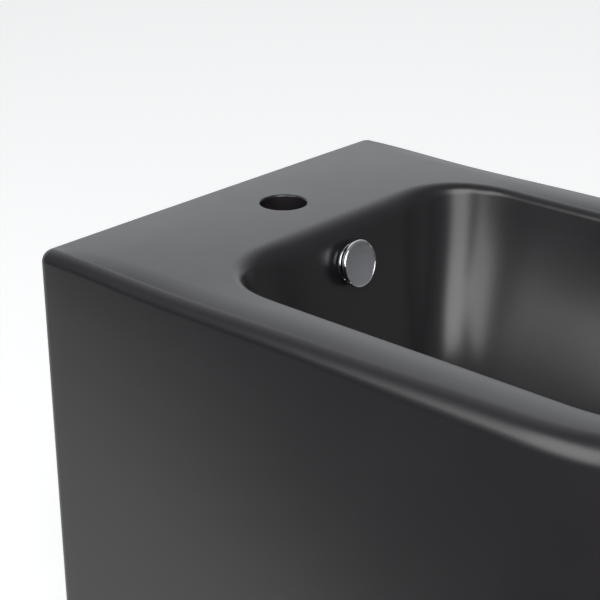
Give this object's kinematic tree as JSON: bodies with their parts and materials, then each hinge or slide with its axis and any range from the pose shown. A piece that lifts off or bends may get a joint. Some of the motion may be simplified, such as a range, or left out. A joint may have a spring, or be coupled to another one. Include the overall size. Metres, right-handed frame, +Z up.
{
  "type": "floor standing bidet",
  "caption": "Back-to-wall floor standing bidet in satin black ceramic, with a D-shaped rim, an empty tap hole, a chrome overflow cap and a push-to-close waste.",
  "frame": {"origin": "middle of the footprint's bounding box, on the floor", "axes": "+X right seen from the front, +Y towards the wall, +Z up"},
  "size_m": [0.3702, 0.55, 0.4055],
  "materials": {
    "glaze": "satin black glaze",
    "chrome": "polished",
    "satin_chrome": "satin",
    "rubber": "matte",
    "nylon": "moulded",
    "brass": "machined",
    "steel": "zinc plated"
  },
  "bodies": {
    "bidet": {"ceramic_body": "glaze", "overflow_gasket": "rubber", "overflow_ring": "chrome", "overflow_cap": "satin_chrome", "waste_body": "chrome", "upper_seal": "rubber", "lower_seal": "rubber", "slip_washer": "nylon", "back_nut": "brass", "cartridge_body": "nylon", "cartridge_cap": "nylon", "latch_ring": "steel", "return_spring": "steel", "left_floor_bracket": "steel", "right_floor_bracket": "steel", "bracket_nuts": "steel", "side_screws": "steel", "side_sleeves": "nylon", "side_caps": "chrome"},
    "plug": {"plunger": "brass", "plug_cap": "chrome", "plug_seal": "rubber"}
  },
  "joints": [
    {"name": "plug_lift", "type": "slide", "parent": "bidet", "child": "plug", "axis": [0, 0, 1], "range_m": [0, 0.008], "deforming": ["return_spring"]}
  ]
}
